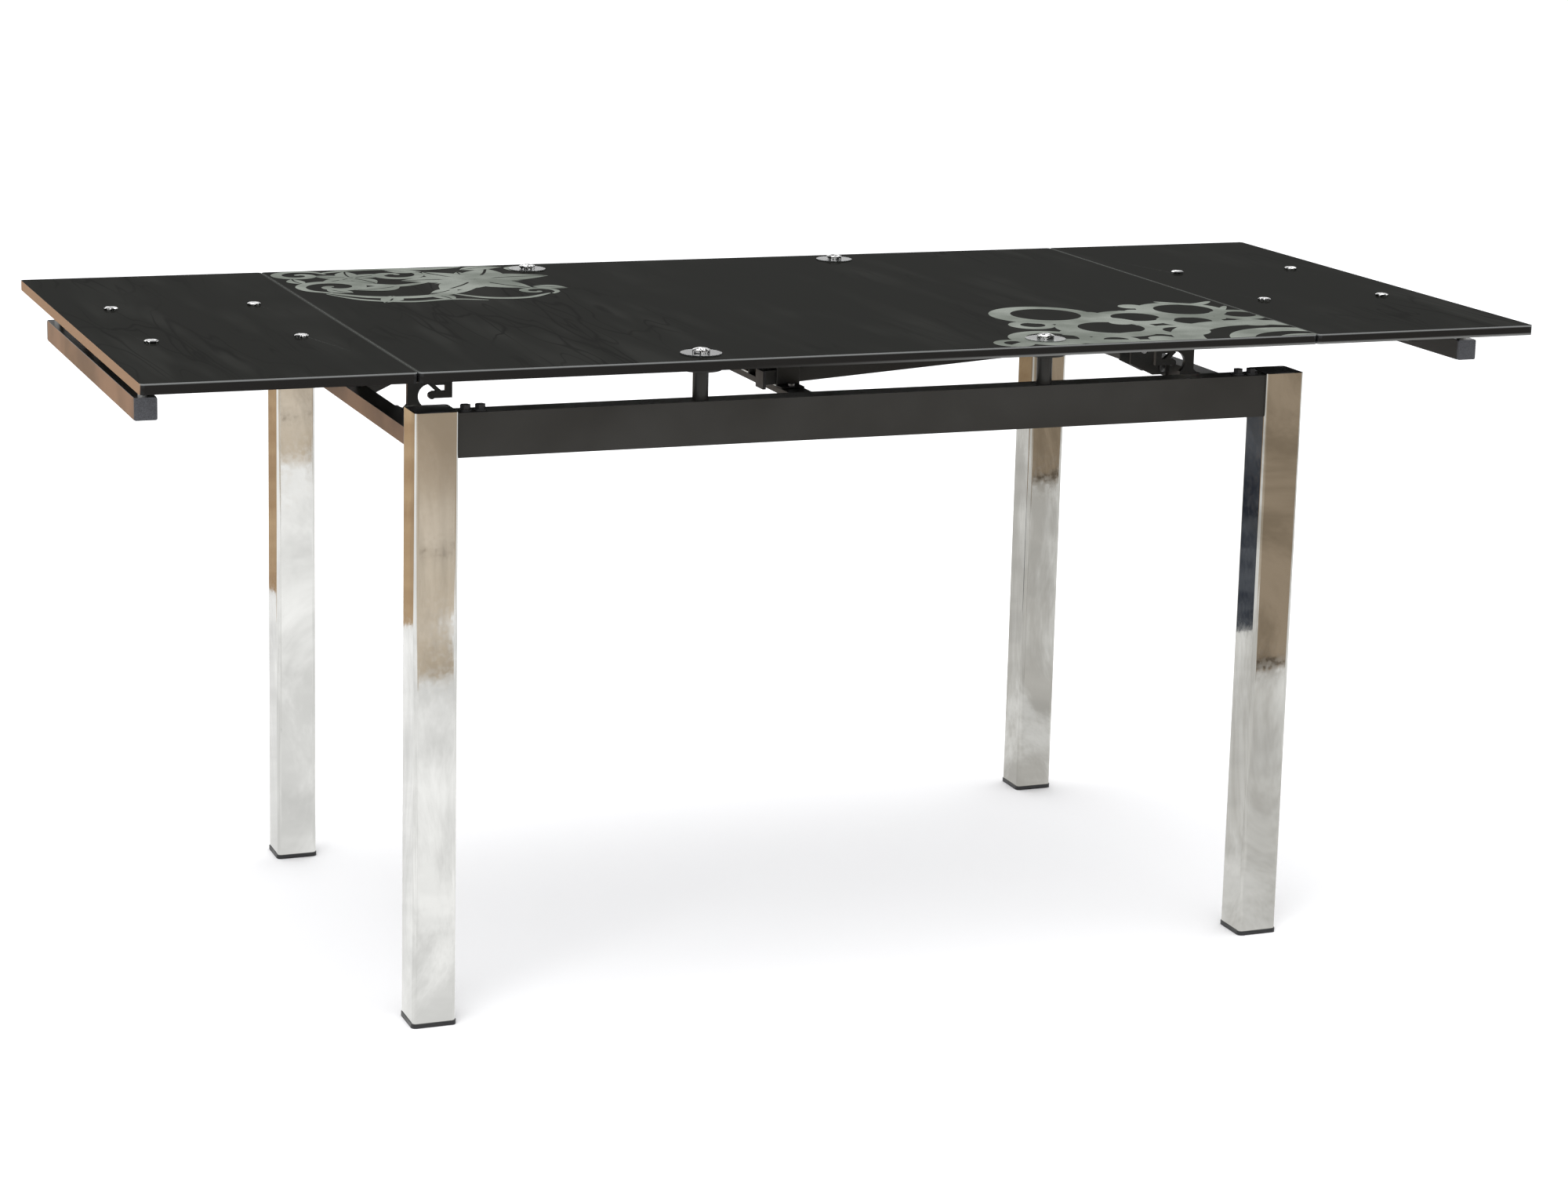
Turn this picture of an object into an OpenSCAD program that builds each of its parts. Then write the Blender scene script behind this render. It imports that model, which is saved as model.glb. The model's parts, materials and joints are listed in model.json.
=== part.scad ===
// Extendable dining table: a centre top on four posts, and a draw leaf at each end.
// Each leaf rides on an inclined bearer, so it sinks below the centre top as it slides in.
// The centre top lifts off its sockets to let a leaf pass under it.
// Drawn with both leaves pulled out. Millimetres, +Z up, origin on the floor below the
// middle of the top, X along the table and Y across it.

/* [Table top] */
// Length of the centre glass
centre_l = 1100; // [1060:10:1160]
// Length that each leaf adds
leaf_l = 300; // [290:5:320]
// Depth of the top
top_w = 740; // [700:10:800]
// Height of the upper face of the glass
top_h = 750; // [750:5:770]
// Thickness of the glass panels
glass_t = 12; // [10:1:12]
// Corner radius of the glass in plan
glass_r = 5; // [3:1:10]
// Open joint between a leaf and the centre glass
seam = 1; // [0.5:0.5:2]

/* [Legs] */
// Width of the square leg tube
leg_w = 50; // [45:1:55]
// Wall of the leg tube
leg_wall = 2; // [1.5:0.5:3]
// Outer corner radius of the leg tube
leg_r = 5; // [4:1:6]
// Setback of the legs from the ends of the centre glass
leg_inset_x = 2; // [0:1:6]
// Setback of the legs from the long edges of the glass
leg_inset_y = 23; // [15:1:30]
// Height of the leg tube's upper end
leg_top = 700; // [699:1:702]
// Height of the foot below the tube
foot_h = 5; // [4:1:10]

/* [Frame] */
// Height of the long aprons
apron_h = 50; // [50:1:55]
// Width of the long aprons
apron_w = 30; // [25:1:32]
// Wall of every frame tube
frame_wall = 2; // [1.5:0.5:2.5]
// Step from the front face of a leg back to the apron
apron_step = 5; // [3:1:8]
// Height of the short end aprons
end_apron_h = 20; // [18:1:21]
// Width of the short end aprons
end_apron_w = 25; // [20:1:25]
// Step from the outer face of a leg in to the end apron
end_apron_step = 13; // [13:1:16]
// Width of the flat cross beam
cross_w = 30; // [25:1:32]
// Thickness of the flat cross beam
cross_h = 8; // [6:1:8]

/* [Posts] */
// Distance of a post from the middle, along the table
post_x = 213; // [205:1:220]
// Diameter of a post
post_d = 18; // [16:1:20]
// Diameter of the flange under the glass
flange_d = 47; // [40:1:48]
// Thickness of the flange
flange_t = 5; // [4:1:6]
// Diameter of the cap on the glass
cap_d = 20; // [18:1:24]
// How deep a post stands in the apron
post_depth = 44; // [36:1:44]

/* [Leaf slides] */
// How far a leaf sinks while it slides in by its own length
drop = 20; // [19:0.5:20.5]
// How far a leaf can be pulled out past its closed joint
leaf_play = 12; // [6:1:12]
// Width of a bearer
bearer_w = 25; // [20:1:25]
// Height of a bearer
bearer_h = 18; // [16:1:18]
// Distance of the right leaf's bearer from the middle, towards the front
right_bearer_y = 40; // [36:1:44]
// Distance of the left leaf's bearer from the middle, towards the back
left_bearer_y = 55; // [50:1:60]
// Side of the square end bar
bar_w = 25; // [22:1:25]
// Length of the end bar with its caps
bar_l = 534; // [480:2:560]
// Setback of the end bar from the end of the leaf
bar_inset = 14; // [12:1:16]
// Distance of a leaf rail from the middle, across the table
rail_y = 150; // [145:1:160]
// Width of a leaf rail
rail_w = 20; // [16:1:20]
// Distance of the leaf fixings from the middle, across the table
fixing_y = 118; // [110:1:122]
// Distance from the seam to the inner pair of fixings
fixing_in = 67; // [60:1:75]
// Distance from the seam to the outer pair of fixings
fixing_out = 237; // [230:1:240]
// Diameter of a support roller
roller_d = 18; // [16:1:18]

/* [Hidden] */
$fn = 48;

// Colours
black_glass = [0.17, 0.17, 0.165];
chrome = [0.78, 0.77, 0.75];
black_paint = [0.19, 0.19, 0.19];
black_plastic = [0.11, 0.11, 0.11];
clear_plastic = [0.85, 0.88, 0.88, 0.5];
zinc = [0.62, 0.63, 0.65];
nylon = [0.82, 0.81, 0.77];

// Clearances and small sizes
sliding_gap = 0.3;          // between parts of different bodies that slide past each other
hole_gap = 0.25;            // between a bolt and its hole, on the radius
plug_gap = 0.2;             // between a plug and its tube
post_fit = 0.1;             // between a post and its socket, on the radius
glass_under = top_h - glass_t;

// Plan of the frame
leg_cx = centre_l / 2 - leg_inset_x - leg_w / 2;
leg_cy = top_w / 2 - leg_inset_y - leg_w / 2;
leg_in_x = leg_cx - leg_w / 2;
leg_in_y = leg_cy - leg_w / 2;
apron_top = leg_top - 2;
apron_low = apron_top - apron_h;
apron_cy = leg_cy + leg_w / 2 - apron_step - apron_w / 2;
end_apron_out = leg_cx + leg_w / 2 - end_apron_step;
end_apron_in = end_apron_out - end_apron_w;
cross_top = apron_low + cross_h;

// Posts: socket in the apron, post, flange, pad, glass, ring and cap, from the apron up
socket_wall = 2;
post_low = apron_top - post_depth;
pad_t = 1;
ring_t = 1.2;
cap_t = 6;
stud_r = 5;
flange_top = glass_under - pad_t;
stud_grip = 26;

// Bearers: the lower edge climbs outwards by `slope` from its height at the middle
slope = drop / leaf_l;
bearer_wall = 1.5;
pad_gap = 0.5;
slide_pad_t = 1.5;
bearer_z0 = cross_top + slide_pad_t + pad_gap + slope * cross_w / 2;
stop_gap = 0.5;
bearer_in = -cross_w / 2 - stop_gap - leaf_play;
bearer_out = centre_l / 2 + leaf_l - bar_inset - bar_w;
stop_t = 4;
stop_lip = 5;
guide_t = 3;
guide_gap = 1.5;

// Leaf frame, from the glass down: washer, strap, rail
washer_t = 2;
strap_t = 3;
strap_w = 30;
strap_l = 2 * rail_y + rail_w + 4;
rail_t = 6;
strap_top = glass_under - washer_t;
rail_top = strap_top - strap_t;
glide_l = 20;
glide_h = drop + rail_t / 2;
rail_in = end_apron_in - 5 - glide_l;
bar_top = glass_under - 22;
bar_low = bar_top - bar_w;
fixing_x = [centre_l / 2 + fixing_in, centre_l / 2 + fixing_out];
fixing_r = 4;
fixing_cap_d = 16;
fixing_cap_t = 3;
nut_r = 7.5;
nut_t = 5;

// Hook bracket, measured inwards from the end apron and up from the frame's lower face
bracket_t = 6;
bracket_l = 60;
bracket_top = rail_top - rail_t - glide_h - sliding_gap - apron_low;
flange_w = 25;
screw_r = 2.5;
screw_head_r = 4.2;
screw_head_t = 2.5;
screw_l = 9;

// Support roller and its fork
roller_x = end_apron_in - 28;
roller_z = bearer_z0 + slope * roller_x - roller_d / 2 * sqrt(1 + slope * slope) - sliding_gap;
axle_r = 3;
axle_fit = 0.05;
cheek_gap = 1;
cheek_t = 3;
fork_l = 44;
fork_top = 52;

function bearer_low(x) = bearer_z0 + slope * x;
function bearer_top(x) = bearer_low(x) + bearer_h;

// Shared shapes
module rounded(w, d, r) {
    square([w - 2 * r, d], center = true);
    square([w, d - 2 * r], center = true);
    for (x = [-1, 1], y = [-1, 1]) translate([x * (w / 2 - r), y * (d / 2 - r)]) circle(r);
}
module tube_x(x0, x1, w, h, wall) {
    translate([x0, 0, 0]) difference() {
        translate([0, -w / 2, 0]) cube([x1 - x0, w, h]);
        translate([-1, -w / 2 + wall, wall]) cube([x1 - x0 + 2, w - 2 * wall, h - 2 * wall]);
    }
}
module tube_y(y0, y1, w, h, wall) { rotate([0, 0, 90]) tube_x(y0, y1, w, h, wall); }
// A side view drawn in X and Z, made t thick about the plane Y = 0
module side_view(t) { rotate([90, 0, 0]) linear_extrude(t, center = true) children(); }
module each_post() {
    for (x = [-1, 1], y = [-1, 1]) translate([x * post_x, y * apron_cy, 0]) children();
}
module each_fixing() {
    for (x = fixing_x, y = [-1, 1]) translate([x, y * fixing_y, 0]) children();
}
// Leaf parts are drawn for the right end; the left end is the same, turned half round.
// A bearer lies at Y = -by of the end that it is drawn for.
module left_end() { rotate([0, 0, 180]) children(); }

// Glass
module glass_panel(l) { linear_extrude(glass_t) rounded(l, top_w, glass_r); }
module centre_glass() {
    color(black_glass) translate([0, 0, glass_under]) difference() {
        glass_panel(centre_l);
        each_post() translate([0, 0, -1]) cylinder(r = stud_r + 2, h = glass_t + 2);
    }
}
module leaf_glass() {
    panel_l = leaf_l - seam;
    color(black_glass) difference() {
        translate([centre_l / 2 + seam + panel_l / 2, 0, glass_under]) glass_panel(panel_l);
        each_fixing() translate([0, 0, glass_under - 1]) cylinder(r = fixing_r + 1, h = glass_t + 2);
    }
}
module right_leaf_glass() { leaf_glass(); }
module left_leaf_glass() { left_end() leaf_glass(); }

// Legs, with a plug in the top and a foot in the bottom
module leg(x, y) {
    color(chrome) translate([x * leg_cx, y * leg_cy, foot_h]) linear_extrude(leg_top - foot_h)
        difference() {
            rounded(leg_w, leg_w, leg_r);
            rounded(leg_w - 2 * leg_wall, leg_w - 2 * leg_wall, leg_r - leg_wall);
        }
}
module leg_plug(x, y) {
    side = leg_w - 2 * (leg_wall + plug_gap);
    dome_r = 260;
    dome_rise = 1.5;
    color(black_plastic) translate([x * leg_cx, y * leg_cy, 0]) intersection() {
        translate([0, 0, leg_top - 18]) linear_extrude(20) rounded(side, side, leg_r - leg_wall);
        translate([0, 0, leg_top + dome_rise - dome_r]) sphere(dome_r, $fn = 96);
    }
}
module foot(x, y) {
    side = leg_w - 2 * (leg_wall + plug_gap);
    color(black_plastic) translate([x * leg_cx, y * leg_cy, 0]) {
        linear_extrude(foot_h) rounded(leg_w + 2, leg_w + 2, leg_r + 1);
        linear_extrude(foot_h + 20) rounded(side, side, leg_r - leg_wall);
    }
}
module leg_front_left() { leg(-1, -1); }
module leg_front_right() { leg(1, -1); }
module leg_back_left() { leg(-1, 1); }
module leg_back_right() { leg(1, 1); }
module leg_plug_front_left() { leg_plug(-1, -1); }
module leg_plug_front_right() { leg_plug(1, -1); }
module leg_plug_back_left() { leg_plug(-1, 1); }
module leg_plug_back_right() { leg_plug(1, 1); }
module foot_front_left() { foot(-1, -1); }
module foot_front_right() { foot(1, -1); }
module foot_back_left() { foot(-1, 1); }
module foot_back_right() { foot(1, 1); }

// Frame
bolt_x = [leg_in_x - 12, leg_in_x - 29];
module each_apron_bolt() {
    for (sx = [-1, 1], x = bolt_x) translate([sx * x, 0, 0]) children();
}
module long_apron(y) {
    socket_r = post_d / 2 + post_fit;
    color(black_paint) translate([0, y * apron_cy, apron_low]) difference() {
        union() {
            tube_x(-leg_in_x, leg_in_x, apron_w, apron_h, frame_wall);
            for (x = [-post_x, post_x]) translate([x, 0, 1])
                cylinder(r = socket_r + socket_wall, h = apron_h - 2);
        }
        for (x = [-post_x, post_x]) translate([x, 0, apron_h - post_depth])
            cylinder(r = socket_r, h = post_depth + 1);
        each_apron_bolt() translate([0, 0, apron_h - frame_wall - 1])
            cylinder(r = screw_r + hole_gap, h = frame_wall + 2);
    }
}
module front_apron() { long_apron(-1); }
module back_apron() { long_apron(1); }
module end_apron(by) {
    color(black_paint) difference() {
        translate([end_apron_in + end_apron_w / 2, 0, apron_low])
            tube_y(-leg_in_y, leg_in_y, end_apron_w, end_apron_h, frame_wall);
        each_bracket_screw() cylinder(r = screw_r + hole_gap, h = 8, center = true);
        each_fork_screw(by) cylinder(r = screw_r + hole_gap, h = 8, center = true);
    }
}
module right_apron() { end_apron(right_bearer_y); }
module left_apron() { left_end() end_apron(left_bearer_y); }
module cross_beam() {
    reach = apron_cy - apron_w / 2;
    color(black_paint) difference() {
        translate([-cross_w / 2, -reach, apron_low]) cube([cross_w, 2 * reach, cross_h]);
        each_guide_screw() translate([0, 0, apron_low - 1])
            cylinder(r = screw_r + hole_gap, h = cross_h + 2);
    }
}
module apron_bolts() {
    color(black_plastic) for (y = [-1, 1]) translate([0, y * apron_cy, apron_top]) each_apron_bolt() {
        cylinder(r = 8, h = 1.5);
        translate([0, 0, 1.5]) cylinder(r = 6, h = 5, $fn = 6);
        translate([0, 0, -9]) cylinder(r = screw_r, h = 10);
    }
}

// Posts that hold the centre glass above the aprons, loose in their sockets
module post(x, y) {
    color(black_paint) translate([x * post_x, y * apron_cy, 0]) difference() {
        union() {
            translate([0, 0, post_low]) cylinder(d = post_d, h = flange_top - post_low);
            translate([0, 0, flange_top - flange_t]) cylinder(d = flange_d, h = flange_t);
            translate([0, 0, flange_top - flange_t - 3]) cylinder(d1 = post_d, d2 = post_d + 8, h = 3);
        }
        translate([0, 0, flange_top - stud_grip - 4]) cylinder(r = stud_r, h = stud_grip + 5);
    }
}
module post_front_left() { post(-1, -1); }
module post_front_right() { post(1, -1); }
module post_back_left() { post(-1, 1); }
module post_back_right() { post(1, 1); }
module post_bolts() {
    cap_low = top_h + ring_t;
    dome_r = 22;
    color(chrome) each_post() {
        translate([0, 0, flange_top - stud_grip])
            cylinder(r = stud_r - hole_gap, h = cap_low - flange_top + stud_grip + 1);
        intersection() {
            translate([0, 0, cap_low]) cylinder(d = cap_d, h = cap_t);
            translate([0, 0, cap_low + cap_t - dome_r]) sphere(dome_r);
        }
    }
}
module washer(r_out, r_in, t) {
    difference() {
        cylinder(r = r_out, h = t);
        translate([0, 0, -1]) cylinder(r = r_in, h = t + 2);
    }
}
// Clear washers above and below the glass at each post
module post_washers() {
    color(clear_plastic) each_post() {
        translate([0, 0, top_h]) washer(flange_d / 2, stud_r + hole_gap, ring_t);
        translate([0, 0, flange_top]) washer(flange_d / 2 - 1, stud_r + hole_gap, pad_t);
    }
}

// Hook brackets on the inner faces of the end aprons, where the leaf glides come to rest
module bracket_outline() {
    eye = [33, 34];
    eye_r = 13.5;
    hook_low = 31;
    column_w = 8;
    notch = 7;
    difference() {
        polygon([[0, 1], [20, 1], [26, 12], [26, 46], [bracket_l, 46],
            [bracket_l, bracket_top - slope * bracket_l], [notch, bracket_top - slope * notch],
            [notch, 25], [0, 18]]);
        translate(eye) circle(eye_r);
    }
    translate([bracket_l - column_w, hook_low]) square([column_w, 16]);
    translate([eye[0] + 3, hook_low]) square([bracket_l - eye[0] - 3, column_w]);
    translate(eye + [3, 0]) circle(4.2);
    polygon([[eye[0] - 1, 47], [eye[0] + 6, 47], [eye[0] + 16, 38], [eye[0] + 9, 38]]);
}
module each_bracket_screw() {
    for (y = [-1, 1], row = [0, 1]) translate([end_apron_in, y * (rail_y - 17), apron_low + 5 + 10 * row])
        rotate([0, 90, 0]) children();
}
module each_fork_screw(by) {
    for (y = [-1, 1]) translate([end_apron_in, y * 23 - by, apron_low + 10])
        rotate([0, 90, 0]) children();
}
module bracket(y) {
    color(black_paint) difference() {
        union() {
            translate([end_apron_in, y * (rail_y - 1), apron_low]) mirror([1, 0, 0])
                side_view(bracket_t) bracket_outline();
            translate([end_apron_in - 3, min(y * (rail_y - flange_w), y * rail_y), apron_low + 1])
                cube([3, flange_w, end_apron_h - 1]);
        }
        each_bracket_screw() cylinder(r = screw_r + hole_gap, h = 12, center = true);
    }
}
module bracket_front_right() { bracket(-1); }
module bracket_back_right() { bracket(1); }
module bracket_front_left() { left_end() bracket(1); }
module bracket_back_left() { left_end() bracket(-1); }
module screw() {
    translate([0, 0, -screw_head_t]) cylinder(r = screw_head_r, h = screw_head_t);
    cylinder(r = screw_r, h = screw_l);
}
module end_screws(by) {
    each_bracket_screw() translate([0, 0, -3]) screw();
    each_fork_screw(by) translate([0, 0, -3]) screw();
}
module bracket_screws() {
    color(zinc) {
        end_screws(right_bearer_y);
        left_end() end_screws(left_bearer_y);
        translate([0, 0, cross_top + guide_foot_t]) each_guide_screw() mirror([0, 0, 1]) screw();
    }
}

// Support roller for the bearer, in a fork on the end apron
module fork(by) {
    cheek_y = bearer_w / 2 + cheek_gap;
    color(black_paint) difference() {
        union() {
            translate([end_apron_in - 3, -by - 30, apron_low + 1])
                cube([3, 60, end_apron_h - 1]);
            for (y = [-1, 1]) translate([end_apron_in - 2, y * (cheek_y + cheek_t / 2) - by, apron_low])
                mirror([1, 0, 0]) side_view(cheek_t)
                    polygon([[0, 1], [12, 1], [fork_l, 16], [fork_l, fork_top], [8, fork_top], [0, 19]]);
        }
        translate([roller_x, -by, roller_z]) rotate([90, 0, 0])
            cylinder(r = axle_r, h = 60, center = true);
        each_fork_screw(by) cylinder(r = screw_r + hole_gap, h = 12, center = true);
    }
}
module roller_forks() {
    fork(right_bearer_y);
    left_end() fork(left_bearer_y);
}
module axle(by) {
    axle_l = bearer_w + 2 * (cheek_gap + cheek_t);
    color(zinc) translate([roller_x, -by, roller_z]) rotate([90, 0, 0]) {
        cylinder(r = axle_r, h = axle_l + 2, center = true);
        for (end = [-1, 1]) translate([0, 0, end * (axle_l / 2 + 1)])
            cylinder(r = axle_r + 1.5, h = 2, center = true);
    }
}
module roller_axles() {
    axle(right_bearer_y);
    left_end() axle(left_bearer_y);
}
module roller(by) {
    roller_w = bearer_w;
    color(nylon) translate([roller_x, -by, roller_z]) rotate([90, 0, 0]) difference() {
        cylinder(d = roller_d, h = roller_w, center = true);
        cylinder(r = axle_r + axle_fit, h = roller_w + 2, center = true);
    }
}
module right_roller() { roller(right_bearer_y); }
module left_roller() { left_end() roller(left_bearer_y); }

// Guide that holds the inner ends of both bearers down on the cross beam
guide_front = -right_bearer_y - bearer_w / 2 - 1;
guide_back = left_bearer_y + bearer_w / 2 + 1;
guide_foot_t = 2;
guide_foot_w = 20;
module each_guide_screw() {
    for (y = [guide_front - guide_foot_w + 8, guide_back + guide_foot_w - 8])
        translate([0, y, 0]) children();
}
module guide_plate(y, w, z, h) { translate([-cross_w / 2, y, z]) cube([cross_w, w, h]); }
module bearer_guide() {
    wall_h = bearer_top(cross_w / 2) + guide_gap - cross_top;
    span = guide_back - guide_front + 2 * guide_t;
    color(black_paint) difference() {
        union() {
            guide_plate(guide_front - guide_t, span, cross_top + wall_h, guide_t);
            guide_plate(guide_front - guide_t, guide_t, cross_top, wall_h);
            guide_plate(guide_back, guide_t, cross_top, wall_h);
            guide_plate(bearer_w / 2 - right_bearer_y + 1, guide_t, cross_top, wall_h);
            guide_plate(left_bearer_y - bearer_w / 2 - 1 - guide_t, guide_t, cross_top, wall_h);
            guide_plate(guide_front - guide_foot_w, guide_foot_w, cross_top, guide_foot_t);
            guide_plate(guide_back, guide_foot_w, cross_top, guide_foot_t);
        }
        each_guide_screw() translate([0, 0, cross_top - 1])
            cylinder(r = screw_r + hole_gap, h = guide_foot_t + 2);
    }
}
module slide_pads() {
    color(nylon) for (y = [-right_bearer_y, left_bearer_y])
        translate([-cross_w / 2, y - bearer_w / 2, cross_top]) cube([cross_w, bearer_w, slide_pad_t]);
}

// Leaf carriage
module bearer(by) {
    color(black_paint) translate([0, -by, 0]) difference() {
        side_view(bearer_w) polygon([[bearer_in, bearer_low(bearer_in)],
            [bearer_out, bearer_low(bearer_out)], [bearer_out, bearer_top(bearer_out)],
            [bearer_in, bearer_top(bearer_in)]]);
        side_view(bearer_w - 2 * bearer_wall) polygon([
            [bearer_in - 1, bearer_low(bearer_in - 1) + bearer_wall],
            [bearer_out + 1, bearer_low(bearer_out + 1) + bearer_wall],
            [bearer_out + 1, bearer_top(bearer_out + 1) - bearer_wall],
            [bearer_in - 1, bearer_top(bearer_in - 1) - bearer_wall]]);
    }
}
module right_bearer() { bearer(right_bearer_y); }
module left_bearer() { left_end() bearer(left_bearer_y); }
module bearer_plug(by) {
    inset = bearer_wall + plug_gap;
    low = bearer_low(bearer_in);
    color(black_plastic) translate([0, -by, 0]) {
        side_view(bearer_w) polygon([[bearer_in - stop_t, low - stop_lip], [bearer_in, low - stop_lip],
            [bearer_in, low + bearer_h], [bearer_in - stop_t, low + bearer_h - 1]]);
        side_view(bearer_w - 2 * inset) polygon([[bearer_in, low + inset], [bearer_in + 15,
            bearer_low(bearer_in + 15) + inset], [bearer_in + 15, bearer_top(bearer_in + 15) - inset],
            [bearer_in, low + bearer_h - inset]]);
    }
}
module right_bearer_plug() { bearer_plug(right_bearer_y); }
module left_bearer_plug() { left_end() bearer_plug(left_bearer_y); }
cap_face = 3;
module end_bar() {
    half = bar_l / 2 - cap_face;
    color(black_paint) translate([bearer_out + bar_w / 2, 0, bar_low])
        tube_y(-half, half, bar_w, bar_w, bearer_wall);
}
module right_end_bar() { end_bar(); }
module left_end_bar() { left_end() end_bar(); }
module end_caps() {
    inner = bar_w - 2 * (bearer_wall + plug_gap);
    color(black_plastic) translate([bearer_out + bar_w / 2, 0, bar_low + bar_w / 2])
        for (y = [-1, 1]) translate([0, y * bar_l / 2, 0]) rotate([90, 0, 0]) {
            translate([0, 0, min(0, y * cap_face)]) linear_extrude(cap_face) rounded(bar_w, bar_w, 2);
            translate([0, 0, min(0, y * 18)]) linear_extrude(18) rounded(inner, inner, 1);
        }
}
module right_end_caps() { end_caps(); }
module left_end_caps() { left_end() end_caps(); }
module rails() {
    tab = bar_low + 6;
    color(black_paint) for (y = [-1, 1]) translate([0, y * rail_y, 0]) side_view(rail_w)
        polygon([[rail_in, rail_top - rail_t], [bearer_out - rail_t, rail_top - rail_t],
            [bearer_out - rail_t, tab], [bearer_out, tab], [bearer_out, rail_top], [rail_in, rail_top]]);
}
module right_rails() { rails(); }
module left_rails() { left_end() rails(); }
module glides() {
    high = rail_top - rail_t;
    low = bracket_top + apron_low + sliding_gap;
    function ramp(x) = low - slope * (end_apron_in - x);
    color(nylon) for (y = [-1, 1]) translate([0, y * (rail_y - 1), 0]) side_view(rail_w - 6)
        polygon([[rail_in, ramp(rail_in)], [rail_in + glide_l, ramp(rail_in + glide_l)],
            [rail_in + glide_l, high], [rail_in, high]]);
}
module right_glides() { glides(); }
module left_glides() { left_end() glides(); }
module straps() {
    color(black_paint) difference() {
        for (x = fixing_x) translate([x - strap_w / 2, -strap_l / 2, rail_top])
            cube([strap_w, strap_l, strap_t]);
        each_fixing() translate([0, 0, rail_top - 1])
            cylinder(r = fixing_r + hole_gap, h = strap_t + 2);
    }
}
module right_straps() { straps(); }
module left_straps() { left_end() straps(); }
module packers(by) {
    color(black_plastic) for (x = fixing_x) translate([0, -by, 0]) side_view(bearer_w)
        polygon([[x - strap_w / 2, bearer_top(x - strap_w / 2)], [x + strap_w / 2,
            bearer_top(x + strap_w / 2)], [x + strap_w / 2, rail_top], [x - strap_w / 2, rail_top]]);
}
module right_packers() { packers(right_bearer_y); }
module left_packers() { left_end() packers(left_bearer_y); }
module washers() {
    color(clear_plastic) each_fixing() translate([0, 0, strap_top])
        washer(10, fixing_r + hole_gap, washer_t);
}
module right_washers() { washers(); }
module left_washers() { left_end() washers(); }
module fixings() {
    nut_top = rail_top;
    shank_low = nut_top - nut_t - 2;
    color(chrome) each_fixing() {
        translate([0, 0, top_h]) cylinder(d = fixing_cap_d, h = fixing_cap_t - 1);
        translate([0, 0, top_h + fixing_cap_t - 1])
            cylinder(d1 = fixing_cap_d, d2 = fixing_cap_d - 3, h = 1);
        translate([0, 0, shank_low]) cylinder(r = fixing_r, h = top_h - shank_low + 1);
        translate([0, 0, nut_top - nut_t]) difference() {
            cylinder(r = nut_r, h = nut_t, $fn = 6);
            translate([0, 0, -1]) cylinder(r = fixing_r + axle_fit, h = nut_t + 2);
        }
    }
}
module right_fixings() { fixings(); }
module left_fixings() { left_end() fixings(); }
module spacers() {
    color(chrome) for (y = [-1, 1])
        translate([bearer_out + bar_w / 2, y * (bar_l / 2 - 14), bar_top])
            cylinder(d = 12, h = glass_under - bar_top);
}
module right_spacers() { spacers(); }
module left_spacers() { left_end() spacers(); }

centre_glass();
left_leaf_glass();
right_leaf_glass();
leg_front_left();
leg_front_right();
leg_back_left();
leg_back_right();
leg_plug_front_left();
leg_plug_front_right();
leg_plug_back_left();
leg_plug_back_right();
foot_front_left();
foot_front_right();
foot_back_left();
foot_back_right();
front_apron();
back_apron();
left_apron();
right_apron();
cross_beam();
post_front_left();
post_front_right();
post_back_left();
post_back_right();
post_bolts();
post_washers();
bracket_front_left();
bracket_front_right();
bracket_back_left();
bracket_back_right();
roller_forks();
roller_axles();
left_roller();
right_roller();
bearer_guide();
slide_pads();
apron_bolts();
bracket_screws();
left_bearer();
right_bearer();
left_bearer_plug();
right_bearer_plug();
left_end_bar();
right_end_bar();
left_end_caps();
right_end_caps();
left_rails();
right_rails();
left_glides();
right_glides();
left_straps();
right_straps();
left_fixings();
right_fixings();
left_washers();
right_washers();
left_spacers();
right_spacers();
left_packers();
right_packers();
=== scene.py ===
import json
import math

import bmesh
import bpy
from mathutils import Matrix, Vector


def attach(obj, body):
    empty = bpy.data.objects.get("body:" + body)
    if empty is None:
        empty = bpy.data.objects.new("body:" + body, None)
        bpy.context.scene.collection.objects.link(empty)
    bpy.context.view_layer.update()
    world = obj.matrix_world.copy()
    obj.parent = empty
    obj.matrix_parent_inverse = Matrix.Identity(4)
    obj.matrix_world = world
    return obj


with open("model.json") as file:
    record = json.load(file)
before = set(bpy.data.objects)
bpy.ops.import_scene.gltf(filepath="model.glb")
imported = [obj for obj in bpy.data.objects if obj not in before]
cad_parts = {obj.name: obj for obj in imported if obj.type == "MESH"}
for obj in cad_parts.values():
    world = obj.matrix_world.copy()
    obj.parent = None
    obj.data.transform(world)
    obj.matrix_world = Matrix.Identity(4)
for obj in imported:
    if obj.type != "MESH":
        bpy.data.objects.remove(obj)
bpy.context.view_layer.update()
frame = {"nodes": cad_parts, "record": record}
scene = bpy.context.scene
scene.view_settings.view_transform = "Standard"
scene.view_settings.look = "None"


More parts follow.
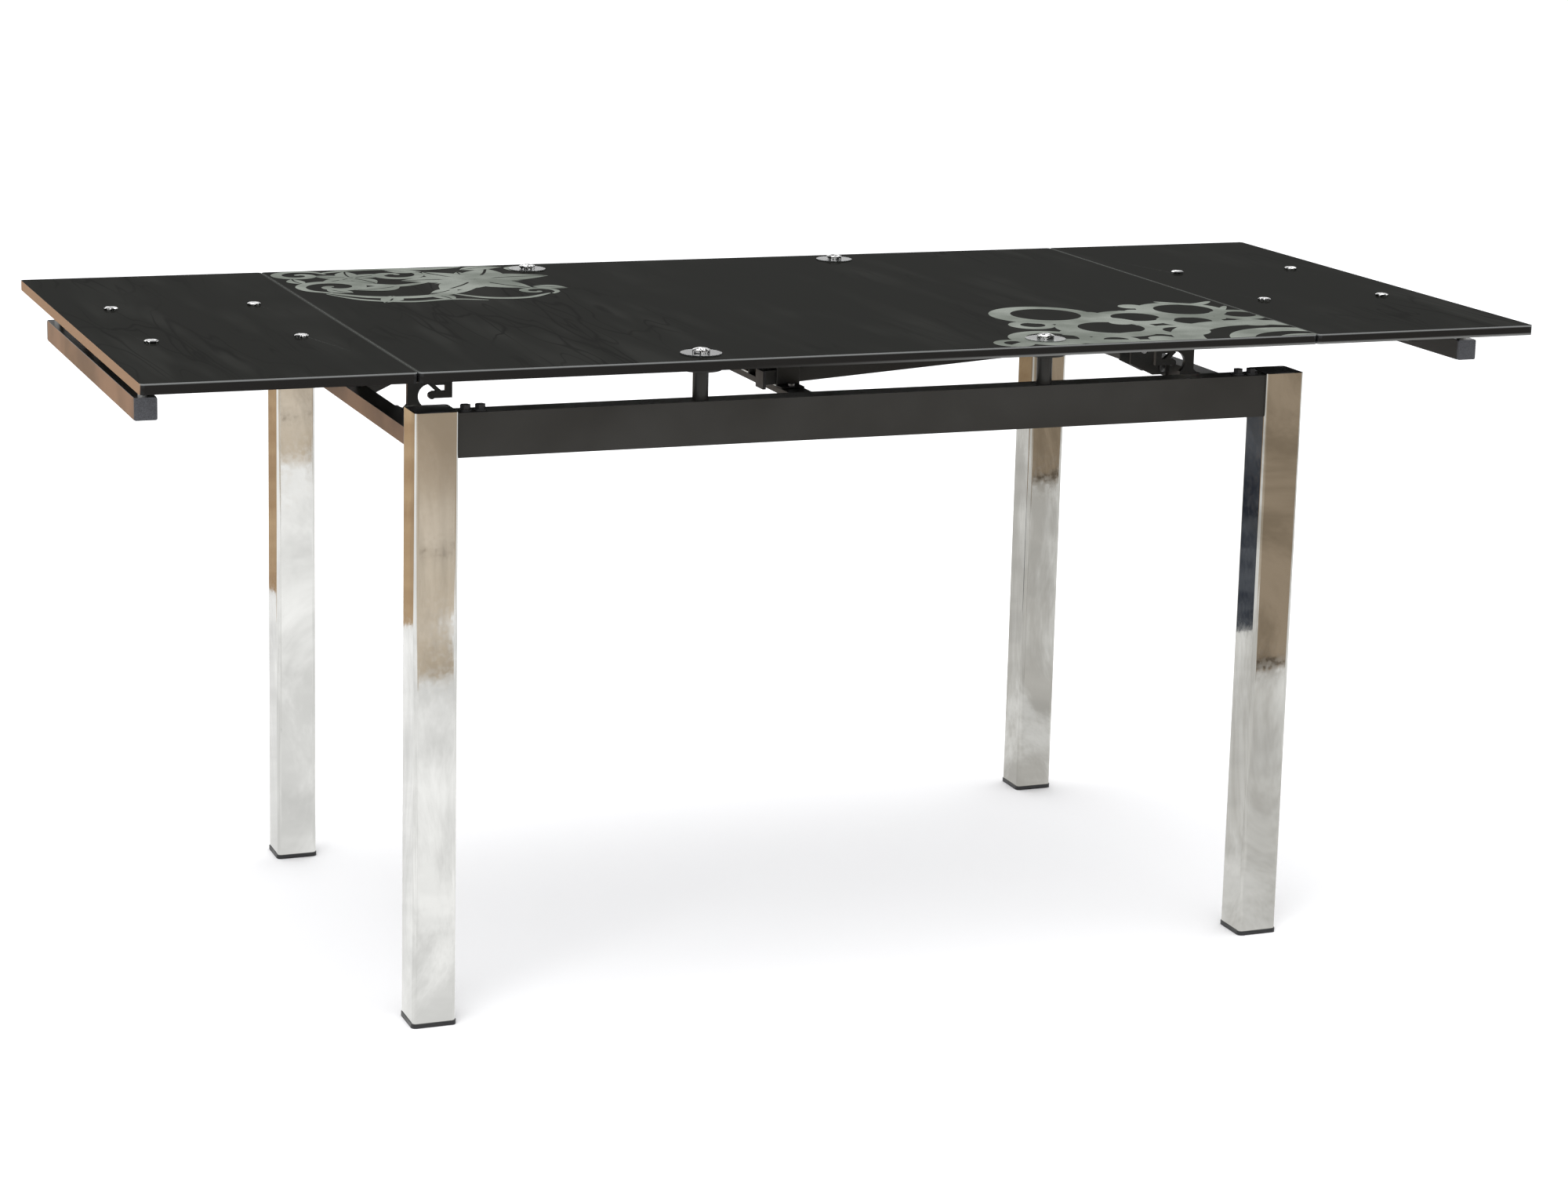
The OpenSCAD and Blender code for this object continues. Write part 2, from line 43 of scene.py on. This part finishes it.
# ---------------------------------------------------------------- node helpers
class Shader:
    """One procedural material: a Principled shader, and short calls for the nodes that feed it."""

    def __init__(self, name, **values):
        self.mat = bpy.data.materials.new(name)
        self.mat.use_nodes = True
        self.tree = self.mat.node_tree
        self.bsdf = next(n for n in self.tree.nodes if n.type == "BSDF_PRINCIPLED")
        self.coords = self.tree.nodes.new("ShaderNodeTexCoord").outputs["Object"]
        for key, value in values.items():
            self.put(key.replace("_", " "), value)

    def socket(self, name):
        return next(s for s in self.bsdf.inputs if s.name.lower() == name.lower())

    def put(self, name, value):
        """Sets a Principled input to a number, a colour or another node's output."""
        target = self.socket(name)
        if isinstance(value, bpy.types.NodeSocket):
            self.tree.links.new(value, target)
        elif isinstance(value, tuple):
            target.default_value = (*value, 1.0)
        else:
            target.default_value = value

    def _feed(self, node, index, value):
        """Gives a node's input a number, a colour or another node's output."""
        if isinstance(value, bpy.types.NodeSocket):
            self.tree.links.new(value, node.inputs[index])
        else:
            node.inputs[index].default_value = value

    def scaled(self, scale, turn=(0, 0, 0)):
        """Object coordinates, turned and stretched."""
        node = self.tree.nodes.new("ShaderNodeMapping")
        self.tree.links.new(self.coords, node.inputs["Vector"])
        node.inputs["Scale"].default_value = scale
        node.inputs["Rotation"].default_value = turn
        return node.outputs["Vector"]

    def noise(self, scale, detail=3.0, rough=0.5, stretch=(1, 1, 1), turn=(0, 0, 0), warp=0.0):
        """Cloudy noise from 0 to 1, with its middle near 0.5."""
        node = self.tree.nodes.new("ShaderNodeTexNoise")
        self.tree.links.new(self.scaled(stretch, turn), node.inputs["Vector"])
        node.inputs["Scale"].default_value = scale
        node.inputs["Detail"].default_value = detail
        node.inputs["Roughness"].default_value = rough
        node.inputs["Distortion"].default_value = warp
        return node.outputs["Fac"]

    def math(self, kind, a, b=0.0):
        node = self.tree.nodes.new("ShaderNodeMath")
        node.operation = kind
        self._feed(node, 0, a)
        self._feed(node, 1, b)
        return node.outputs[0]

    def ramp(self, value, low, high, out_low=0.0, out_high=1.0):
        """Value mapped from low..high to out_low..out_high, clamped, with smooth ends."""
        node = self.tree.nodes.new("ShaderNodeMapRange")
        node.interpolation_type = "SMOOTHSTEP"
        self._feed(node, 0, value)
        for i, number in enumerate((low, high, out_low, out_high)):
            self._feed(node, i + 1, number)
        return node.outputs[0]

    def mix(self, factor, a, b):
        """Colour a where factor is 0, and b where it is 1."""
        node = self.tree.nodes.new("ShaderNodeMix")
        node.data_type = "RGBA"
        self._feed(node, 0, factor)
        for index, value in ((6, a), (7, b)):
            self._feed(node, index, (*value, 1.0) if isinstance(value, tuple) else value)
        return node.outputs[2]

    def axis(self, letter, source="Object"):
        """One coordinate of the point, or of the surface normal."""
        split = self.tree.nodes.new("ShaderNodeSeparateXYZ")
        if source == "Object":
            self.tree.links.new(self.coords, split.inputs[0])
        else:
            geometry = self.tree.nodes.new("ShaderNodeNewGeometry")
            self.tree.links.new(geometry.outputs["Normal"], split.inputs[0])
        return split.outputs["XYZ".index(letter)]

    def bump(self, height, distance, strength):
        """Tilts the surface's shading by a height, distance metres deep."""
        node = self.tree.nodes.new("ShaderNodeBump")
        node.inputs["Distance"].default_value = distance
        node.inputs["Strength"].default_value = strength
        self.tree.links.new(height, node.inputs["Height"])
        self.put("Normal", node.outputs["Normal"])


# ---------------------------------------------------------------- materials
TOP_Z = 0.75
GLASS_T = 0.012
SEAM_X = 0.5505  # in the gap between the centre glass and a leaf
# Each set of folds in the film behind the glass: its turn in radians, and its noise scale
FILM_FOLDS = ((0.10, 24.0), (-0.42, 15.0), (0.55, 19.0))
FOLD_STRETCH = (1.0, 0.13, 1)


def black_glass():
    """Back-painted glass: a near-black face with faint film folds drawn in painted sheen and painted
    shade, a painted highlight along the seams and painted highlights on the edges.

    The left-hand edge is brown, which stands for the floor that it mirrors.
    """
    s = Shader("black_glass", Coat_Roughness=0.05)
    s.put("Specular IOR Level", 0.0)
    clouds = s.noise(2.2, 3.0, 0.5)
    # Painted sheen and painted shade: the film folds are drawn in colour only, lighter on their facets and
    # darker along their creases.
    folds, painted_sheen = 0.0, 0.0
    for turn, scale in FILM_FOLDS:
        wave = s.noise(scale, 1.5, 0.4, stretch=FOLD_STRETCH, turn=(0, 0, turn))
        ridge = s.math("ABSOLUTE", s.math("SUBTRACT", wave, 0.5))
        folds = s.math("MAXIMUM", folds, s.ramp(ridge, 0.014, 0.0))
        painted_sheen = s.math("MAXIMUM", painted_sheen, s.ramp(wave, 0.54, 0.72))
    amount = s.math("MULTIPLY", painted_sheen, s.ramp(clouds, 0.35, 0.60))
    face = s.mix(amount, (0.0092, 0.0094, 0.0083), (0.0152, 0.0154, 0.0139))
    painted_crease_shade = s.math("MULTIPLY", folds, s.ramp(clouds, 0.44, 0.58))
    face = s.mix(painted_crease_shade, face, (0.0056, 0.0057, 0.0050))
    # Painted highlight: the top is paler in a thin band along each seam, where the glass edges catch the
    # light.
    from_middle = s.math("ABSOLUTE", s.axis("X"))
    from_seam = s.math("ABSOLUTE", s.math("SUBTRACT", from_middle, SEAM_X))
    face = s.mix(s.ramp(from_seam, 0.0030, 0.0020), face, (0.030, 0.031, 0.028))
    # Painted highlights: the edge is bright along its upper arris all round, and along its lower arris
    # towards the right.
    height = s.math("SUBTRACT", s.axis("Z"), TOP_Z - GLASS_T)
    lower = s.math("MULTIPLY", s.ramp(height, 0.0034, 0.0014), s.ramp(s.axis("X"), -0.20, 0.25))
    rim = s.mix(lower, (0.010, 0.010, 0.010), (0.115, 0.117, 0.114))
    rim = s.mix(s.ramp(height, 0.0096, 0.0112), rim, (0.150, 0.155, 0.154))
    # Painted reflection: the left-facing edge at the left end is brown, for the floor that it mirrors.
    faces_left = s.ramp(s.axis("X", "Normal"), -0.75, -0.98)
    left_end = s.math("MULTIPLY", s.ramp(s.axis("X"), -0.80, -0.84), faces_left)
    rim = s.mix(left_end, rim, (0.250, 0.160, 0.105))
    flat = s.ramp(s.math("ABSOLUTE", s.axis("Z", "Normal")), 0.92, 0.995)
    s.put("Base Color", s.mix(flat, rim, face))
    s.put("Roughness", s.ramp(clouds, 0.3, 0.7, 0.20, 0.26))
    s.put("Coat Weight", s.ramp(flat, 0.0, 1.0, 0.35, 0.03))
    return s.mat


def printed():
    """Frosted enamel print on the glass."""
    s = Shader("print", Roughness=0.55)
    s.put("Specular IOR Level", 0.0)
    speckle = s.noise(700.0, 2.0)
    patches = s.noise(14.0, 3.0)
    base = s.mix(s.ramp(patches, 0.3, 0.7), (0.125, 0.136, 0.120), (0.225, 0.240, 0.218))
    s.put("Base Color", s.mix(s.ramp(speckle, 0.3, 0.7, 0.0, 0.35), base, (0.09, 0.10, 0.09)))
    return s.mat


def chrome():
    """Polished chrome tube: a mirror with slight waves, mottled haze and a darker right end, which is
    painted shade for the darker things that the right-hand legs mirror.
    """
    s = Shader("chrome", Metallic=1.0)
    haze = s.noise(7.0, 5.0, 0.65, stretch=(1, 1, 0.5), warp=0.8)
    fine = s.noise(160.0, 2.0)
    left = s.mix(s.ramp(haze, 0.38, 0.62), (0.90, 0.90, 0.885), (0.70, 0.70, 0.685))
    # Painted shade: the mirror colour darkens towards the right-hand legs, for the darker things they
    # mirror.
    right_legs_painted_shade = s.mix(s.ramp(haze, 0.38, 0.62), (0.66, 0.655, 0.63), (0.44, 0.43, 0.40))
    s.put("Base Color", s.mix(s.ramp(s.axis("X"), -0.2, 0.3), left, right_legs_painted_shade))
    s.put("Roughness", s.ramp(fine, 0.3, 0.7, 0.03, 0.075))
    s.bump(s.noise(22.0, 3.0, 0.55, stretch=(1, 1, 0.35)), 0.0006, 0.30)
    return s.mat


def chrome_cap():
    """Small polished caps: bright and dark patches are painted highlights and painted shade, which stand
    for the facets that sparkle.
    """
    s = Shader("chrome_cap", Metallic=1.0)
    painted_sheen = s.noise(190.0, 1.0, 0.5, warp=1.5)
    # Painted highlights and painted shade: bright and dark patches in the colour stand for the glinting
    # facets.
    s.put("Base Color", s.mix(s.ramp(painted_sheen, 0.51, 0.57), (0.045, 0.045, 0.045), (0.93, 0.93, 0.92)))
    s.put("Roughness", s.ramp(painted_sheen, 0.3, 0.7, 0.10, 0.20))
    return s.mat


def powder_coat():
    """Satin black powder coat with a fine orange peel.

    Faces that look left at the left end are brown, which stands for the floor that they mirror.
    """
    s = Shader("powder_coat")
    tone = s.noise(6.0, 3.0)
    peel = s.noise(900.0, 2.0)
    paint = s.mix(s.ramp(tone, 0.3, 0.7), (0.0150, 0.0146, 0.0132), (0.0215, 0.0210, 0.0192))
    # Painted reflection: faces that look left at the left end are a mottled brown, for the floor that they
    # mirror.
    warm = s.ramp(s.math("MULTIPLY", s.axis("X", "Normal"), -1.0), 0.75, 0.98)
    left = s.ramp(s.axis("X"), -0.30, -0.50)
    grain_and_floor_reflection = s.mix(s.ramp(s.noise(9.0, 4.0), 0.35, 0.65), (0.230, 0.135, 0.088), (0.125, 0.078, 0.055))
    s.put("Base Color", s.mix(s.math("MULTIPLY", warm, left), paint, grain_and_floor_reflection))
    s.put("Roughness", s.ramp(tone, 0.3, 0.7, 0.30, 0.38))
    s.put("Specular IOR Level", 0.28)
    s.bump(peel, 0.00012, 0.25)
    return s.mat


def plastic(name, tone):
    """Moulded plastic with a fine grain."""
    s = Shader(name)
    grain_and_floor_reflection = s.noise(1200.0, 2.0)
    s.put("Base Color", s.mix(s.ramp(grain_and_floor_reflection, 0.3, 0.7), tone, tuple(1.8 * c for c in tone)))
    s.put("Roughness", s.ramp(s.noise(40.0), 0.3, 0.7, 0.32, 0.45))
    s.put("Specular IOR Level", 0.35)
    s.bump(grain_and_floor_reflection, 0.0001, 0.2)
    return s.mat


def clear_plastic():
    """Cloudy clear plastic washers."""
    s = Shader("clear_plastic")
    cloud = s.noise(60.0)
    s.put("Base Color", s.mix(s.ramp(cloud, 0.3, 0.7), (0.30, 0.32, 0.32), (0.46, 0.48, 0.48)))
    s.put("Roughness", s.ramp(cloud, 0.3, 0.7, 0.05, 0.12))
    s.put("Transmission Weight", 0.92)
    s.put("IOR", 1.18)
    return s.mat


def zinc_steel():
    """Zinc-plated steel with faint flakes."""
    s = Shader("zinc_steel", Metallic=1.0)
    flakes = s.noise(240.0, 4.0)
    s.put("Base Color", s.mix(s.ramp(flakes, 0.3, 0.7), (0.42, 0.43, 0.45), (0.58, 0.59, 0.60)))
    s.put("Roughness", s.ramp(flakes, 0.3, 0.7, 0.28, 0.42))
    return s.mat


def nylon():
    """Off-white nylon of the rollers, glides and pads."""
    s = Shader("nylon")
    cloud = s.noise(80.0)
    s.put("Base Color", s.mix(s.ramp(cloud, 0.3, 0.7), (0.58, 0.57, 0.52), (0.68, 0.66, 0.61)))
    s.put("Roughness", s.ramp(cloud, 0.3, 0.7, 0.40, 0.52))
    s.put("Subsurface Weight", 0.05)
    return s.mat


MATERIALS = {
    "black_glass": black_glass(),
    "chrome": chrome(),
    "black_paint": powder_coat(),
    "black_plastic": plastic("black_plastic", (0.013, 0.013, 0.014)),
    "clear_plastic": clear_plastic(),
    "zinc_steel": zinc_steel(),
    "nylon": nylon(),
}
PRINT = printed()
CAPS = chrome_cap()
GREY = plastic("grey_plastic", (0.040, 0.042, 0.048))
# Nodes that don't take the material of their slot
SPECIAL = {
    "post_bolts": CAPS,
    "left_fixings": CAPS,
    "right_fixings": CAPS,
    "left_end_caps": GREY,
    "right_end_caps": GREY,
}

slot_of = {p["node"]: p["material_slot"] for p in frame["record"]["subparts"]}
EDGE_BEVEL = {"black_glass": 0.0012, "black_paint": 0.0008}
WELD_GAP = 0.00002
BEVEL_ANGLE = math.radians(50)
for name, node in frame["nodes"].items():
    slot = slot_of[name]
    node.data.materials.clear()
    node.data.materials.append(SPECIAL.get(name, MATERIALS[slot]))
    if slot in EDGE_BEVEL:
        weld = node.modifiers.new("weld", "WELD")
        weld.merge_threshold = WELD_GAP
        bevel = node.modifiers.new("edges", "BEVEL")
        bevel.width = EDGE_BEVEL[slot]
        bevel.segments = 2
        bevel.limit_method = "ANGLE"
        bevel.angle_limit = BEVEL_ANGLE
        bevel.harden_normals = True


# ---------------------------------------------------------------- printed pattern
PRINT_Z = TOP_Z + 0.00012
LAYER_STEP = 0.000004  # each shape lies this much higher, so that no two share a plane
GLASS_X, GLASS_Y = 0.5492, 0.3692  # 0.8 mm inside the centre glass's edges
RING_STEPS = 56
STROKE_STEPS = 10
PETAL_STEPS = 16


class Pattern:
    """Flat shapes in the plane of the glass, in millimetres, clipped to the panel's edges."""

    def __init__(self):
        self.mesh = bmesh.new()
        self.layer = 0

    def point(self, x, y):
        return self.mesh.verts.new((x / 1000, y / 1000, PRINT_Z + self.layer * LAYER_STEP))

    def strip(self, left, right, closed=False):
        """A band of quads between two lines with the same number of points."""
        a = [self.point(*p) for p in left]
        b = [self.point(*p) for p in right]
        count = len(a)
        for i in range(count if closed else count - 1):
            j = (i + 1) % count
            self.mesh.faces.new((a[i], b[i], b[j], a[j]))
        self.layer += 1

    def ring(self, x, y, outer, inner, shift=(0, 0)):
        """A ring; shift moves its hole, so that one side is wider."""
        hx, hy = x + shift[0], y + shift[1]
        angles = [math.radians(360 * i / RING_STEPS) for i in range(RING_STEPS)]
        rim = [(x + outer * math.cos(t), y + outer * math.sin(t)) for t in angles]
        hole = [(hx + inner * math.cos(t), hy + inner * math.sin(t)) for t in angles]
        self.strip(hole, rim, closed=True)

    def stroke(self, points, width, tip=0.15):
        """A smooth line through the points, widest in the middle."""
        path = []
        ends = [points[0], *points, points[-1]]
        for p0, p1, p2, p3 in zip(ends, ends[1:], ends[2:], ends[3:]):
            for k in range(STROKE_STEPS):
                t = k / STROKE_STEPS
                path.append(tuple(
                    0.5 * (2 * b + (c - a) * t + (2 * a - 5 * b + 4 * c - d) * t * t
                           + (3 * b - a - 3 * c + d) * t ** 3)
                    for a, b, c, d in zip(p0, p1, p2, p3)))
        path.append(points[-1])
        left, right = [], []
        for i, (x, y) in enumerate(path):
            x0, y0 = path[max(i - 1, 0)]
            x1, y1 = path[min(i + 1, len(path) - 1)]
            length = math.hypot(x1 - x0, y1 - y0) or 1.0
            share = math.sin(math.pi * i / (len(path) - 1))
            half = width / 2 * (tip + (1 - tip) * share ** 0.7)
            nx, ny = -(y1 - y0) / length * half, (x1 - x0) / length * half
            left.append((x + nx, y + ny))
            right.append((x - nx, y - ny))
        self.strip(left, right)

    def spiral(self, x, y, size, turns, start, width, hand=1):
        """A curl that winds in to (x, y) from the direction start, in degrees."""
        points = []
        steps = int(10 * turns)
        for i in range(steps + 1):
            f = i / steps
            t = math.radians(start + hand * 360 * turns * f)
            r = size * (1 - f) ** 0.8 + size * 0.08
            points.append((x + r * math.cos(t), y + r * math.sin(t)))
        self.stroke(points, width, tip=0.3)

    def petal(self, x, y, length, width, angle, bend=0.0, gap=0.0):
        """A pointed leaf from (x, y) outwards; gap leaves a dark vein along its middle."""
        turn = math.radians(angle)
        for side in (-1, 1):
            inner, outer = [], []
            for i in range(PETAL_STEPS + 1):
                f = i / PETAL_STEPS
                half = width / 2 * math.sin(math.pi * f ** 0.85)
                sway = bend * length * math.sin(math.pi * f)
                for target, across in ((inner, sway + side * min(gap, half)), (outer, sway + side * half)):
                    along = length * f
                    target.append((x + along * math.cos(turn) - across * math.sin(turn),
                                   y + along * math.sin(turn) + across * math.cos(turn)))
            self.strip(inner, outer)

    def finish(self, name):
        """Cuts the shapes off at the glass's edges and makes the piece, which rides with the top."""
        for axis, limit in ((0, GLASS_X), (1, GLASS_Y)):
            for sign in (-1, 1):
                at, normal = Vector((0, 0, 0)), Vector((0, 0, 0))
                at[axis], normal[axis] = sign * limit, sign
                everything = self.mesh.verts[:] + self.mesh.edges[:] + self.mesh.faces[:]
                bmesh.ops.bisect_plane(
                    self.mesh, geom=everything, plane_co=at, plane_no=normal, clear_outer=True)
        bmesh.ops.recalc_face_normals(self.mesh, faces=self.mesh.faces)
        for face in self.mesh.faces:
            if face.normal.z < 0:
                face.normal_flip()
        data = bpy.data.meshes.new(name)
        self.mesh.to_mesh(data)
        self.mesh.free()
        piece = bpy.data.objects.new(name, data)
        scene.collection.objects.link(piece)
        data.materials.append(PRINT)
        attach(piece, "centre_top")


def rings_corner():
    """Bubbles and crescents that gather at the front right corner."""
    p = Pattern()
    for x, y, outer, inner in (
            (286, -166, 66, 43), (388, -206, 50, 30), (322, -272, 64, 40), (222, -322, 50, 31),
            (474, -166, 56, 37), (446, -246, 42, 24), (240, -232, 28, 15), (528, -214, 36, 20),
            (398, -306, 38, 21), (292, -350, 30, 15), (516, -272, 24, 11), (356, -238, 15, 0),
            (352, -354, 17, 0), (424, -128, 16, 0), (488, -232, 12, 0), (164, -346, 24, 13),
            (412, -164, 13, 0), (350, -166, 10, 0), (262, -286, 10, 0)):
        p.ring(x, y, outer, inner, shift=(0.08 * outer, 0.05 * outer))
    p.ring(492, -378, 126, 98, shift=(7, -9))
    p.ring(512, -394, 82, 60, shift=(6, -6))
    p.ring(528, -404, 44, 26, shift=(4, -3))
    p.stroke([(150, -366), (206, -340), (262, -356), (322, -368), (392, -370)], 30)
    p.stroke([(246, -302), (300, -322), (356, -314), (412, -342)], 22)
    p.stroke([(392, -156), (426, -180), (454, -212), (500, -202), (544, -150)], 19)
    p.stroke([(470, -100), (508, -130), (542, -112)], 15)
    p.stroke([(318, -212), (352, -204), (372, -232), (366, -262)], 12)
    p.finish("print_rings")


def flower_corner():
    """A lily with a second bloom on curling stems at the back left corner."""
    p = Pattern()
    x, y = -306, 258
    for length, width, angle, bend in (
            (104, 56, 6, 0.05), (96, 54, 64, -0.05), (86, 50, 122, 0.06), (92, 54, 176, -0.04),
            (104, 58, 232, 0.06), (100, 56, 302, -0.05)):
        p.petal(x, y, length, width, angle, bend, gap=1.8)
    for angle in (34, 92, 150, 206, 266, 336):
        p.petal(x, y, 64, 26, angle, 0.04, gap=1.2)
    p.ring(x, y, 11, 5)
    x, y = -452, 300
    for length, width, angle in (
            (58, 30, 20), (54, 28, 84), (50, 28, 150), (54, 30, 214), (56, 30, 290)):
        p.petal(x, y, length, width, angle, 0.05, gap=1.2)
    p.ring(x, y, 8, 3)
    p.stroke([(-314, 206), (-352, 162), (-410, 134), (-470, 146), (-518, 196)], 17)
    p.spiral(-488, 232, 46, 1.35, 250, 18, hand=-1)
    p.stroke([(-366, 248), (-412, 226), (-450, 250), (-470, 290)], 18)
    p.spiral(-394, 312, 36, 1.2, 80, 15, hand=-1)
    p.spiral(-512, 330, 34, 1.3, 10, 15, hand=1)
    p.stroke([(-478, 346), (-436, 362), (-392, 366), (-340, 354), (-292, 362)], 18)
    p.stroke([(-364, 150), (-330, 110), (-284, 102), (-244, 130)], 12)
    p.spiral(-256, 150, 26, 1.1, 300, 11)
    p.stroke([(-514, 178), (-482, 126), (-430, 100), (-376, 108), (-334, 92)], 10)
    for px, py, length, width, angle in (
            (-410, 224, 66, 38, 200), (-440, 148, 56, 28, 246), (-392, 150, 52, 26, 290),
            (-300, 338, 62, 30, 12), (-250, 186, 46, 28, 330), (-522, 262, 44, 22, 95),
            (-350, 190, 54, 28, 222), (-352, 330, 52, 28, 150), (-236, 318, 44, 24, 60),
            (-480, 180, 46, 24, 120)):
        p.petal(px, py, length, width, angle, 0.08, gap=1.2)
    p.finish("print_flower")


rings_corner()
flower_corner()


# ---------------------------------------------------------------- floor, reflectors, light
def plane(name, corners, material):
    """One flat face of the stage."""
    data = bpy.data.meshes.new(name)
    data.from_pydata([Vector(c) for c in corners], [], [tuple(range(len(corners)))])
    piece = bpy.data.objects.new(name, data)
    scene.collection.objects.link(piece)
    data.materials.append(material)
    return piece


floor_look = Shader("floor", Roughness=0.9)
floor_look.put("Specular IOR Level", 0.0)
floor_look.put("Base Color", floor_look.mix(
    floor_look.ramp(floor_look.noise(0.6), 0.3, 0.7), (0.972, 0.972, 0.985), (0.978, 0.978, 0.990)))
HALF = 90
plane("floor", [(-HALF, -HALF, 0), (HALF, -HALF, 0), (HALF, HALF, 0), (-HALF, HALF, 0)], floor_look.mat)


def glow(name, light, dark, scale=1.6, deep=None):
    """A glowing look, mottled from light to dark, and deep in colour far in front and to the right."""
    s = Shader(name, Roughness=1.0)
    s.put("Base Color", (0.0, 0.0, 0.0))
    s.put("Specular IOR Level", 0.0)
    tone = s.mix(s.ramp(s.noise(scale, 5.0, 0.62), 0.36, 0.64), light, dark)
    if deep:
        away = s.math("MAXIMUM", s.ramp(s.axis("Y"), -2.6, -3.6), s.ramp(s.axis("X"), 0.7, 1.1))
        tone = s.mix(away, tone, deep)
    s.put("Emission Color", tone)
    s.put("Emission Strength", 1.0)
    return s.mat


def reflector(name, corners, material, z, tall=0.0):
    """A flat card at height z, or an upright one between two points."""
    outline = [(x, y, z) for x, y in corners]
    if tall:
        outline += [(x, y, z + tall) for x, y in reversed(corners)]
    piece = plane(name, outline, material)
    piece.visible_camera = False
    piece.visible_diffuse = False
    piece.visible_shadow = False
    piece.visible_transmission = False


# The studio floor: white paper round the table and a brown floor beyond, seen only in reflections.
# The cards lie on each other at these heights.
PAPER_Z, CARD_Z, DARK_Z, SEAM_Z = 0.002, 0.004, 0.006, 0.008
FAR = 14.0
PAPER = glow("paper_card", (0.98, 0.98, 0.97), (0.80, 0.80, 0.79), 2.4)
WOOD = glow("wood_card", (0.66, 0.58, 0.48), (0.52, 0.44, 0.34), 1.8, deep=(0.40, 0.32, 0.235))
DARK = glow("dark_card", (0.030, 0.036, 0.050), (0.12, 0.13, 0.15), 5.0)
LINE = glow("line_card", (0.10, 0.08, 0.06), (0.20, 0.16, 0.12), 4.0)
BROWN = glow("brown_card", (0.50, 0.36, 0.22), (0.36, 0.24, 0.14), 2.4)


def torn(points, step=0.03, size=0.035):
    """A line through the points with a torn edge."""
    out = []
    for (xa, ya), (xb, yb) in zip(points, points[1:]):
        count = max(1, int(abs(xb - xa) / step))
        for i in range(count):
            x = xa + (xb - xa) * i / count
            wave = math.sin(23 * x) + 0.7 * math.sin(57 * x + 1.0) + 0.5 * math.sin(131 * x)
            out.append((x, ya + (yb - ya) * i / count + size * wave / 2))
    return out + [points[-1]]


edge = torn([(-FAR, -1.9), (-1.2, -1.85), (-0.35, -1.76), (-0.06, -1.78), (0.0, -2.16), (0.75, -2.24),
             (0.90, -1.50), (1.28, -1.46), (1.40, -1.60), (2.2, -1.75), (FAR, -1.9)])
reflector("reflect_paper", [(-FAR, -FAR), (FAR, -FAR), (FAR, FAR), (-FAR, FAR)], PAPER, PAPER_Z)
reflector("reflect_front", edge + [(FAR, -FAR), (-FAR, -FAR)], WOOD, CARD_Z)
back = [(-FAR, 1.2), (-1.5, 1.30), (-1.02, 1.42), (-0.86, 1.74), (-0.70, 3.2), (-1.2, 6.0), (-FAR, 8.0)]
reflector("reflect_left", back, BROWN, CARD_Z)
shade = [(-0.10, 1.00), (-0.55, 0.98), (-0.74, 1.60), (-0.80, 2.10), (-0.45, 1.75)]
reflector("reflect_dark", shade, DARK, DARK_Z)
reflector("reflect_post", [(-0.80, 1.84), (-0.62, 1.95)], DARK, CARD_Z, tall=0.36)
crease = torn([(-0.35, -2.50), (0.05, -2.62), (0.45, -2.52)], size=0.06)
reflector("reflect_crease", crease + [(x, y - 0.028) for x, y in reversed(crease)], LINE, DARK_Z)
seam = [(x, y) for x, y in edge if 0.85 < x < 1.9]
reflector("reflect_seam", seam + [(x, y - 0.045) for x, y in reversed(seam)], LINE, SEAM_Z)

world = bpy.data.worlds.new("studio")
scene.world = world
world.use_nodes = True
background = world.node_tree.nodes["Background"]
background.inputs["Color"].default_value = (1.0, 1.0, 1.0, 1.0)
background.inputs["Strength"].default_value = 1.26


def soft_light(name, at, towards, size, power):
    """A white rectangle of light at one point, aimed at another."""
    data = bpy.data.lights.new(name, "AREA")
    data.shape = "RECTANGLE"
    data.size, data.size_y = size
    data.energy = power
    lamp = bpy.data.objects.new(name, data)
    lamp.location = at
    lamp.rotation_euler = (Vector(towards) - Vector(at)).to_track_quat("-Z", "Y").to_euler()
    scene.collection.objects.link(lamp)


soft_light("key", (-2.6, -3.4, 4.2), (0, 0, 0.4), (3.0, 3.0), 90)
soft_light("top", (0.4, 0.6, 4.5), (0, 0, 0.6), (4.0, 4.0), 60)

# ---------------------------------------------------------------- camera
CAMERA_AT = (-1.562, -3.9957, 1.4195)
YAW, PITCH, ROLL = (math.radians(a) for a in (22.17, 11.123, 1.508))
camera_data = bpy.data.cameras.new("camera")
camera = bpy.data.objects.new("camera", camera_data)
scene.collection.objects.link(camera)
scene.camera = camera
camera_data.sensor_width = 36.0
camera_data.lens = 81.36
camera_data.shift_x, camera_data.shift_y = -0.0227, -0.10
forward = Vector((math.sin(YAW) * math.cos(PITCH), math.cos(YAW) * math.cos(PITCH), -math.sin(PITCH)))
level = Vector((math.cos(YAW), -math.sin(YAW), 0))
upright = level.cross(forward)
right = math.cos(ROLL) * level + math.sin(ROLL) * upright
up = -math.sin(ROLL) * level + math.cos(ROLL) * upright
turn = Matrix((right, up, -forward)).transposed()
camera.matrix_world = Matrix.Translation(CAMERA_AT) @ turn.to_4x4()
camera_data.clip_start, camera_data.clip_end = 0.05, 300
